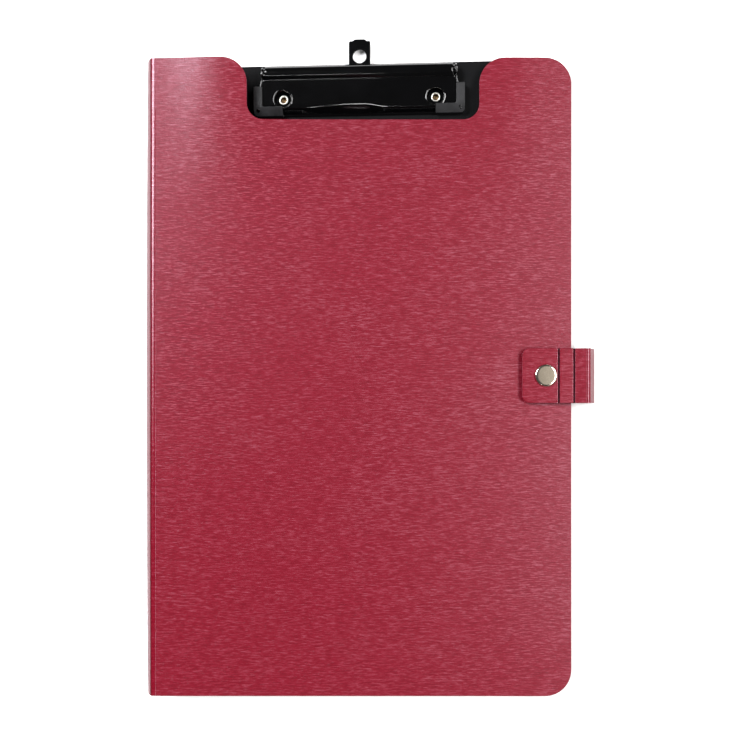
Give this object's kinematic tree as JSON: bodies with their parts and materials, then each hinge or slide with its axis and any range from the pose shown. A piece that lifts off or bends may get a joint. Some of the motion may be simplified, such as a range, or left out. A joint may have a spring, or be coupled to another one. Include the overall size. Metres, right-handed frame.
{
  "type": "clipboard folder",
  "caption": "Clipboard folder with a wrap-around front cover, a low-profile spring clip, a sliding hanging tab and a snap strap closure.",
  "frame": {"origin": "centre of the rear leaf's outer face", "axes": "+Z out of the rear leaf towards the front cover, +Y towards the clip, +X towards the strap side"},
  "size_m": [0.2479, 0.3644, 0.0231],
  "materials": {
    "red_sheet": "fine brushed streaks across the leaf, satin",
    "black_board": "satin black",
    "black_metal": "gloss black coated steel",
    "grip_rubber": "matt dark grey",
    "steel": "bright drawn wire",
    "rivet_metal": "plated rim, brass inside",
    "snap_metal": "polished warm nickel"
  },
  "bodies": {
    "board": {"back_panel": "red_sheet", "backing_board": "black_board", "clip_base_plate": "black_metal", "clip_hinge_rod": "steel", "clip_springs": "steel", "clip_rivets": "rivet_metal"},
    "spine": {"spine_panel": "red_sheet"},
    "cover": {"front_cover": "red_sheet", "snap_stud": "snap_metal", "snap_post": "snap_metal"},
    "strap_a": {"strap_side": "red_sheet"},
    "strap_b": {"strap_mid_outer": "red_sheet"},
    "strap_c": {"strap_mid_inner": "red_sheet"},
    "strap_d": {"strap_flap": "red_sheet", "snap_cap": "snap_metal", "snap_socket": "snap_metal"},
    "jaw": {"clip_jaw_plate": "black_metal", "jaw_grip_left": "grip_rubber", "jaw_grip_right": "grip_rubber"},
    "tab": {"hanging_tab": "black_metal"}
  },
  "joints": [
    {"name": "spine_rear_fold", "type": "hinge", "parent": "board", "child": "spine", "pos_m": [-0.1175, 0, 0.0006], "axis": [0, -1, 0], "range_deg": [0, 180]},
    {"name": "spine_front_fold", "type": "hinge", "parent": "spine", "child": "cover", "pos_m": [-0.11435, 0, 0.02257], "axis": [0, -1, 0], "range_deg": [0, 185]},
    {"name": "strap_root_fold", "type": "hinge", "parent": "board", "child": "strap_a", "pos_m": [0.128, 0, 0.0006], "axis": [0, 1, 0], "range_deg": [0, 110]},
    {"name": "strap_bend_fold", "type": "hinge", "parent": "strap_a", "child": "strap_b", "pos_m": [0.1249, 0, 0.0084], "axis": [0, 1, 0], "range_deg": [0, 73]},
    {"name": "strap_outer_crease", "type": "hinge", "parent": "strap_b", "child": "strap_c", "pos_m": [0.1167, 0, 0.00771], "axis": [0, 1, 0], "range_deg": [0, 45]},
    {"name": "strap_inner_crease", "type": "hinge", "parent": "strap_c", "child": "strap_d", "pos_m": [0.10833, 0, 0.00838], "axis": [0, 1, 0], "range_deg": [0, 45]},
    {"name": "jaw_hinge", "type": "hinge", "parent": "board", "child": "jaw", "pos_m": [-0.0016, 0.1697, 0.00785], "axis": [-1, 0, 0], "range_deg": [0, 40], "stiffness_Nm_per_rad": 0.35, "springref_deg": -51.57, "deforming": ["clip_springs"]},
    {"name": "tab_slide", "type": "slide", "parent": "board", "child": "tab", "axis": [0, 1, 0], "range_m": [-0.0115, 0]}
  ]
}
